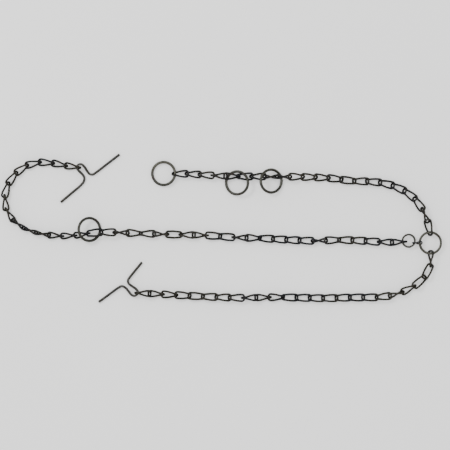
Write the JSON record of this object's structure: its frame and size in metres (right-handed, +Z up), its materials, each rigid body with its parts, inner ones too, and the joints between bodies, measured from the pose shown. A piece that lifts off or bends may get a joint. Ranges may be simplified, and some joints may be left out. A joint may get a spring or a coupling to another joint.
{
  "type": "disc golf basket chain set",
  "caption": "Chain set for a disc golf basket: strands of twisted-link chain on a joining ring, with loose rings and bent-wire hooks, laid out flat.",
  "frame": {"origin": "on the floor, under the middle of the bounding box of the whole set as it lies", "axes": "+X along the length of the set towards the joining ring, +Y across it towards the upper strand, +Z up off the floor"},
  "size_m": [0.749, 0.2538, 0.0202],
  "materials": {
    "chain_steel": "dark, slightly oily black-oxide steel wire with a soft sheen",
    "ring_steel": "dark steel wire, a little brighter and smoother than the chain",
    "hook_steel": "dark drawn steel wire, dull, with bright sheared ends"
  },
  "bodies": {
    "joining_ring": {"joining_ring": "ring_steel"},
    "short_link": {"short_link": "chain_steel"},
    "small_ring": {"small_ring": "ring_steel"},
    "upper_link_01": {"upper_link_01": "chain_steel"},
    "upper_link_02": {"upper_link_02": "chain_steel"},
    "upper_link_03": {"upper_link_03": "chain_steel"},
    "upper_links_04_05": {"upper_links_04_05": "chain_steel"},
    "upper_links_06_07": {"upper_links_06_07": "chain_steel"},
    "upper_links_08_09": {"upper_links_08_09": "chain_steel"},
    "upper_links_10_11": {"upper_links_10_11": "chain_steel"},
    "upper_links_12_13": {"upper_links_12_13": "chain_steel"},
    "upper_links_14_16": {"upper_links_14_16": "chain_steel"},
    "upper_links_17_18": {"upper_links_17_18": "chain_steel"},
    "upper_link_19": {"upper_link_19": "chain_steel"},
    "upper_links_20_21": {"upper_links_20_21": "chain_steel"},
    "upper_link_22": {"upper_link_22": "chain_steel"},
    "middle_link_01": {"middle_link_01": "chain_steel"},
    "middle_links_02_03": {"middle_links_02_03": "chain_steel"},
    "middle_links_04_05": {"middle_links_04_05": "chain_steel"},
    "middle_links_06_07": {"middle_links_06_07": "chain_steel"},
    "middle_links_08_09": {"middle_links_08_09": "chain_steel"},
    "middle_links_10_11": {"middle_links_10_11": "chain_steel"},
    "middle_links_12_13": {"middle_links_12_13": "chain_steel"},
    "middle_links_14_15": {"middle_links_14_15": "chain_steel"},
    "middle_links_16_17": {"middle_links_16_17": "chain_steel"},
    "middle_links_18_19": {"middle_links_18_19": "chain_steel"},
    "middle_links_20_21": {"middle_links_20_21": "chain_steel"},
    "middle_links_22_23": {"middle_links_22_23": "chain_steel"},
    "middle_links_24_25": {"middle_links_24_25": "chain_steel"},
    "middle_links_26_27": {"middle_links_26_27": "chain_steel"},
    "middle_link_28": {"middle_link_28": "chain_steel"},
    "middle_link_29": {"middle_link_29": "chain_steel"},
    "middle_link_30": {"middle_link_30": "chain_steel"},
    "middle_link_31": {"middle_link_31": "chain_steel"},
    "middle_link_32": {"middle_link_32": "chain_steel"},
    "middle_link_33": {"middle_link_33": "chain_steel"},
    "middle_link_34": {"middle_link_34": "chain_steel"},
    "middle_links_35_36": {"middle_links_35_36": "chain_steel"},
    "middle_links_37_38": {"middle_links_37_38": "chain_steel"},
    "middle_link_39": {"middle_link_39": "chain_steel"},
    "lower_link_01": {"lower_link_01": "chain_steel"},
    "lower_link_02": {"lower_link_02": "chain_steel"},
    "lower_link_03": {"lower_link_03": "chain_steel"},
    "lower_links_04_05": {"lower_links_04_05": "chain_steel"},
    "lower_links_06_07": {"lower_links_06_07": "chain_steel"},
    "lower_links_08_09": {"lower_links_08_09": "chain_steel"},
    "lower_links_10_11": {"lower_links_10_11": "chain_steel"},
    "lower_links_12_13": {"lower_links_12_13": "chain_steel"},
    "lower_links_14_15": {"lower_links_14_15": "chain_steel"},
    "lower_links_16_17": {"lower_links_16_17": "chain_steel"},
    "lower_links_18_19": {"lower_links_18_19": "chain_steel"},
    "lower_links_20_21": {"lower_links_20_21": "chain_steel"},
    "lower_links_22_23": {"lower_links_22_23": "chain_steel"},
    "lower_link_24": {"lower_link_24": "chain_steel"},
    "end_ring": {"end_ring": "ring_steel"},
    "loose_ring_1": {"loose_ring_1": "ring_steel"},
    "loose_ring_2": {"loose_ring_2": "ring_steel"},
    "loose_ring_3": {"loose_ring_3": "ring_steel"},
    "wire_hook_1": {"wire_hook_1": "hook_steel"},
    "wire_hook_2": {"wire_hook_2": "hook_steel"}
  },
  "joints": [
    {"name": "short_link_swing", "type": "hinge", "parent": "joining_ring", "child": "short_link", "pos_m": [0.33672, -0.02483, 0.007], "axis": [0, -1, 0], "range_deg": [-18, 18]},
    {"name": "small_ring_swing", "type": "hinge", "parent": "short_link", "child": "small_ring", "pos_m": [0.32782, -0.02483, 0.0064], "axis": [0.3429, 0.9394, 0], "range_deg": [-18, 18]},
    {"name": "upper_link_01_swing", "type": "hinge", "parent": "joining_ring", "child": "upper_link_01", "pos_m": [0.35472, -0.00683, 0.007], "axis": [-1, 0, 0], "range_deg": [-18, 18]},
    {"name": "upper_link_02_swing", "type": "hinge", "parent": "upper_link_01", "child": "upper_link_02", "pos_m": [0.35068, 0.01008, 0.00726], "axis": [-0.5664, -0.2413, 0.788], "range_deg": [-18, 18]},
    {"name": "upper_link_03_swing", "type": "hinge", "parent": "upper_link_02", "child": "upper_link_03", "pos_m": [0.34022, 0.03465, 0.00726], "axis": [-0.2843, -0.1211, -0.9511], "range_deg": [-9, 18]},
    {"name": "upper_links_04_05_swing", "type": "hinge", "parent": "upper_link_03", "child": "upper_links_04_05", "pos_m": [0.33018, 0.04884, 0.00604], "axis": [0.6057, 0.7888, 0.1045], "range_deg": [-18, 18]},
    {"name": "upper_links_06_07_swing", "type": "hinge", "parent": "upper_links_04_05", "child": "upper_links_06_07", "pos_m": [0.28864, 0.07353, 0.00604], "axis": [-0.2609, -0.5875, 0.766], "range_deg": [-18, 18]},
    {"name": "upper_links_08_09_swing", "type": "hinge", "parent": "upper_links_06_07", "child": "upper_links_08_09", "pos_m": [0.24986, 0.07965, 0.00604], "axis": [-0.0126, -0.9944, -0.1045], "range_deg": [-18, 18]},
    {"name": "upper_links_10_11_swing", "type": "hinge", "parent": "upper_links_08_09", "child": "upper_links_10_11", "pos_m": [0.20135, 0.08303, 0.00624], "axis": [0.1176, 0.9438, -0.309], "range_deg": [-18, 18]},
    {"name": "upper_links_12_13_swing", "type": "hinge", "parent": "upper_links_10_11", "child": "upper_links_12_13", "pos_m": [0.16218, 0.08646, 0.0067], "axis": [0.105, 0.4512, 0.8862], "range_deg": [-18, 18]},
    {"name": "upper_links_14_16_swing", "type": "hinge", "parent": "upper_links_12_13", "child": "upper_links_14_16", "pos_m": [0.11393, 0.08752, 0.0134], "axis": [-0.0362, -0.9921, -0.1201], "range_deg": [-18, 18]},
    {"name": "upper_links_17_18_swing", "type": "hinge", "parent": "upper_links_14_16", "child": "upper_links_17_18", "pos_m": [0.05311, 0.08809, 0.00673], "axis": [0.0039, -0.9986, -0.0521], "range_deg": [-18, 18]},
    {"name": "upper_link_19_swing", "type": "hinge", "parent": "upper_links_17_18", "child": "upper_link_19", "pos_m": [0.00453, 0.08873, 0.00939], "axis": [0.0362, 0.939, 0.342], "range_deg": [-18, 18]},
    {"name": "upper_links_20_21_swing", "type": "hinge", "parent": "upper_link_19", "child": "upper_links_20_21", "pos_m": [-0.01266, 0.08966, 0.00745], "axis": [0.0674, 0.9758, -0.2079], "range_deg": [-18, 18]},
    {"name": "upper_link_22_swing", "type": "hinge", "parent": "upper_links_20_21", "child": "upper_link_22", "pos_m": [-0.06143, 0.09258, 0.00694], "axis": [-0.0206, -0.374, 0.9272], "range_deg": [-18, 18]},
    {"name": "middle_link_01_swing", "type": "hinge", "parent": "small_ring", "child": "middle_link_01", "pos_m": [0.30762, -0.02306, 0.0064], "axis": [0.1741, -0.9847, 0], "range_deg": [-18, 18]},
    {"name": "middle_links_02_03_swing", "type": "hinge", "parent": "middle_link_01", "child": "middle_links_02_03", "pos_m": [0.29169, -0.0239, 0.00736], "axis": [-0.0304, -0.9267, 0.3746], "range_deg": [-18, 18]},
    {"name": "middle_links_04_05_swing", "type": "hinge", "parent": "middle_links_02_03", "child": "middle_links_04_05", "pos_m": [0.24266, -0.02138, 0.00579], "axis": [0.0919, 0.6642, -0.7419], "range_deg": [-18, 18]},
    {"name": "middle_links_06_07_swing", "type": "hinge", "parent": "middle_links_04_05", "child": "middle_links_06_07", "pos_m": [0.20191, -0.01965, 0.00612], "axis": [0.0144, 0.6029, 0.7977], "range_deg": [-18, 18]},
    {"name": "middle_links_08_09_swing", "type": "hinge", "parent": "middle_links_06_07", "child": "middle_links_08_09", "pos_m": [0.1528, -0.02138, 0.00732], "axis": [-0.0111, 0.3744, 0.9272], "range_deg": [-18, 18]},
    {"name": "middle_links_10_11_swing", "type": "hinge", "parent": "middle_links_08_09", "child": "middle_links_10_11", "pos_m": [0.11213, -0.01954, 0.00591], "axis": [-0.0597, -0.9885, -0.1392], "range_deg": [-18, 18]},
    {"name": "middle_links_12_13_swing", "type": "hinge", "parent": "middle_links_10_11", "child": "middle_links_12_13", "pos_m": [0.06305, -0.01672, 0.00704], "axis": [0.0024, 0.67, -0.7424], "range_deg": [-18, 18]},
    {"name": "middle_links_14_15_swing", "type": "hinge", "parent": "middle_links_12_13", "child": "middle_links_14_15", "pos_m": [0.02229, -0.01557, 0.0075], "axis": [0.0511, 0.9602, 0.2746], "range_deg": [-18, 18]},
    {"name": "middle_links_16_17_swing", "type": "hinge", "parent": "middle_links_14_15", "child": "middle_links_16_17", "pos_m": [-0.02663, -0.0119, 0.00753], "axis": [-0.0444, -0.9605, 0.2746], "range_deg": [-18, 18]},
    {"name": "middle_links_18_19_swing", "type": "hinge", "parent": "middle_links_16_17", "child": "middle_links_18_19", "pos_m": [-0.06739, -0.01096, 0.00723], "axis": [-0.0217, -0.8384, -0.5446], "range_deg": [-18, 18]},
    {"name": "middle_links_20_21_swing", "type": "hinge", "parent": "middle_links_18_19", "child": "middle_links_20_21", "pos_m": [-0.11652, -0.00954, 0.00718], "axis": [0.0206, 0.6688, 0.7431], "range_deg": [-18, 18]},
    {"name": "middle_links_22_23_swing", "type": "hinge", "parent": "middle_links_20_21", "child": "middle_links_22_23", "pos_m": [-0.15722, -0.00788, 0.00703], "axis": [-0.0812, 0.6194, -0.7809], "range_deg": [-18, 18]},
    {"name": "middle_links_24_25_swing", "type": "hinge", "parent": "middle_links_22_23", "child": "middle_links_24_25", "pos_m": [-0.20597, -0.0065, 0.01241], "axis": [0.0574, -0.6029, 0.7958], "range_deg": [-18, 18]},
    {"name": "middle_links_26_27_swing", "type": "hinge", "parent": "middle_links_24_25", "child": "middle_links_26_27", "pos_m": [-0.2458, -0.0121, 0.00737], "axis": [0.0026, -0.0348, -0.9994], "range_deg": [-18, 18]},
    {"name": "middle_link_28_swing", "type": "hinge", "parent": "middle_links_26_27", "child": "middle_link_28", "pos_m": [-0.29487, -0.01147, 0.00735], "axis": [0.0577, 0.8461, 0.5299], "range_deg": [-18, 18]},
    {"name": "middle_link_29_swing", "type": "hinge", "parent": "middle_link_28", "child": "middle_link_29", "pos_m": [-0.31282, -0.0082, 0.00735], "axis": [0.1638, 0.44, -0.8829], "range_deg": [-18, 18]},
    {"name": "middle_link_30_swing", "type": "hinge", "parent": "middle_link_29", "child": "middle_link_30", "pos_m": [-0.33784, 0.00111, 0.00735], "axis": [0.1638, 0.44, 0.8829], "range_deg": [-15, 18]},
    {"name": "middle_link_31_swing", "type": "hinge", "parent": "middle_link_30", "child": "middle_link_31", "pos_m": [-0.35261, 0.0119, 0.00735], "axis": [-0.6265, -0.3998, 0.6691], "range_deg": [-18, 18]},
    {"name": "middle_link_32_swing", "type": "hinge", "parent": "middle_link_31", "child": "middle_link_32", "pos_m": [-0.36698, 0.0344, 0.00735], "axis": [-0.1172, -0.075, -0.9903], "range_deg": [-18, 18]},
    {"name": "middle_link_33_swing", "type": "hinge", "parent": "middle_link_32", "child": "middle_link_33", "pos_m": [-0.36881, 0.05265, 0.00738], "axis": [0.9276, -0.2848, -0.2419], "range_deg": [-18, 18]},
    {"name": "middle_link_34_swing", "type": "hinge", "parent": "middle_link_33", "child": "middle_link_34", "pos_m": [-0.36107, 0.0782, 0.00698], "axis": [-0.3233, 0.1126, 0.9396], "range_deg": [-15, 18]},
    {"name": "middle_links_35_36_swing", "type": "hinge", "parent": "middle_link_34", "child": "middle_links_35_36", "pos_m": [-0.35019, 0.09287, 0.00701], "axis": [-0.5584, 0.7935, 0.2419], "range_deg": [-18, 18]},
    {"name": "middle_links_37_38_swing", "type": "hinge", "parent": "middle_links_35_36", "child": "middle_links_37_38", "pos_m": [-0.30629, 0.11282, 0.00708], "axis": [0.0735, -0.3001, -0.9511], "range_deg": [-18, 15]},
    {"name": "middle_link_39_swing", "type": "hinge", "parent": "middle_links_37_38", "child": "middle_link_39", "pos_m": [-0.26612, 0.10653, 0.00728], "axis": [-0.1276, -0.8973, -0.4226], "range_deg": [-18, 18]},
    {"name": "lower_link_01_swing", "type": "hinge", "parent": "joining_ring", "child": "lower_link_01", "pos_m": [0.35472, -0.04283, 0.007], "axis": [1, 0, 0], "range_deg": [-18, 12]},
    {"name": "lower_link_02_swing", "type": "hinge", "parent": "lower_link_01", "child": "lower_link_02", "pos_m": [0.35598, -0.06132, 0.00741], "axis": [0.8385, -0.3815, -0.3892], "range_deg": [-18, 15]},
    {"name": "lower_link_03_swing", "type": "hinge", "parent": "lower_link_02", "child": "lower_link_03", "pos_m": [0.34405, -0.08509, 0.00502], "axis": [-0.7277, 0.4198, -0.5424], "range_deg": [-18, 18]},
    {"name": "lower_links_04_05_swing", "type": "hinge", "parent": "lower_link_03", "child": "lower_links_04_05", "pos_m": [0.32966, -0.09714, 0.00709], "axis": [-0.1266, 0.2636, 0.9563], "range_deg": [-18, 18]},
    {"name": "lower_links_06_07_swing", "type": "hinge", "parent": "lower_links_04_05", "child": "lower_links_06_07", "pos_m": [0.284, -0.1154, 0.00723], "axis": [0.1871, -0.615, -0.766], "range_deg": [-18, 18]},
    {"name": "lower_links_08_09_swing", "type": "hinge", "parent": "lower_links_06_07", "child": "lower_links_08_09", "pos_m": [0.24271, -0.1175, 0.00557], "axis": [0.0044, -0.9744, -0.225], "range_deg": [-18, 18]},
    {"name": "lower_links_10_11_swing", "type": "hinge", "parent": "lower_links_08_09", "child": "lower_links_10_11", "pos_m": [0.19333, -0.11849, 0.00557], "axis": [-0.0261, 0.7309, -0.682], "range_deg": [-18, 18]},
    {"name": "lower_links_12_13_swing", "type": "hinge", "parent": "lower_links_10_11", "child": "lower_links_12_13", "pos_m": [0.15197, -0.11837, 0.00557], "axis": [0.0254, 0.974, 0.225], "range_deg": [-18, 18]},
    {"name": "lower_links_14_15_swing", "type": "hinge", "parent": "lower_links_12_13", "child": "lower_links_14_15", "pos_m": [0.10262, -0.11716, 0.00698], "axis": [0.0221, -0.7321, 0.6809], "range_deg": [-18, 18]},
    {"name": "lower_links_16_17_swing", "type": "hinge", "parent": "lower_links_14_15", "child": "lower_links_16_17", "pos_m": [0.06123, -0.11769, 0.00734], "axis": [0.015, -0.8659, 0.5], "range_deg": [-18, 18]},
    {"name": "lower_links_18_19_swing", "type": "hinge", "parent": "lower_links_16_17", "child": "lower_links_18_19", "pos_m": [0.01186, -0.11762, 0.00643], "axis": [0.0419, 0.5292, -0.8475], "range_deg": [-18, 18]},
    {"name": "lower_links_20_21_swing", "type": "hinge", "parent": "lower_links_18_19", "child": "lower_links_20_21", "pos_m": [-0.02949, -0.11593, 0.00591], "axis": [0.041, 0.7869, 0.6157], "range_deg": [-18, 18]},
    {"name": "lower_links_22_23_swing", "type": "hinge", "parent": "lower_links_20_21", "child": "lower_links_22_23", "pos_m": [-0.07879, -0.11325, 0.00703], "axis": [-0.0496, -0.989, 0.139], "range_deg": [-18, 18]},
    {"name": "lower_link_24_swing", "type": "hinge", "parent": "lower_links_22_23", "child": "lower_link_24", "pos_m": [-0.12012, -0.11099, 0.00735], "axis": [-0.0434, -0.8469, 0.5299], "range_deg": [-18, 18]},
    {"name": "end_ring_swing", "type": "hinge", "parent": "upper_link_22", "child": "end_ring", "pos_m": [-0.07899, 0.09297, 0.00636], "axis": [0, 1, 0], "range_deg": [-80, 80]},
    {"name": "loose_ring_1_turn", "type": "hinge", "parent": "upper_links_14_16", "child": "loose_ring_1", "pos_m": [0.08437, 0.08017, 0.01019], "axis": [0, 1, 0], "range_deg": [0, 100]},
    {"name": "loose_ring_2_turn", "type": "hinge", "parent": "upper_links_17_18", "child": "loose_ring_2", "pos_m": [0.02652, 0.07702, 0.0083], "axis": [0, 1, 0], "range_deg": [-90, 0]},
    {"name": "loose_ring_3_turn", "type": "hinge", "parent": "middle_links_24_25", "child": "loose_ring_3", "pos_m": [-0.22418, -0.00203, 0.01019], "axis": [0, 1, 0], "range_deg": [0, 100]},
    {"name": "wire_hook_1_swing", "type": "hinge", "parent": "middle_link_39", "child": "wire_hook_1", "pos_m": [-0.23969, 0.10277, 0.00728], "axis": [0.022, 0.1549, 0.9877], "range_deg": [-12, 50]},
    {"name": "wire_hook_2_swing", "type": "hinge", "parent": "lower_link_24", "child": "wire_hook_2", "pos_m": [-0.14678, -0.10963, 0.00735], "axis": [-0.0018, -0.0349, 0.9994], "range_deg": [-50, 35]}
  ]
}
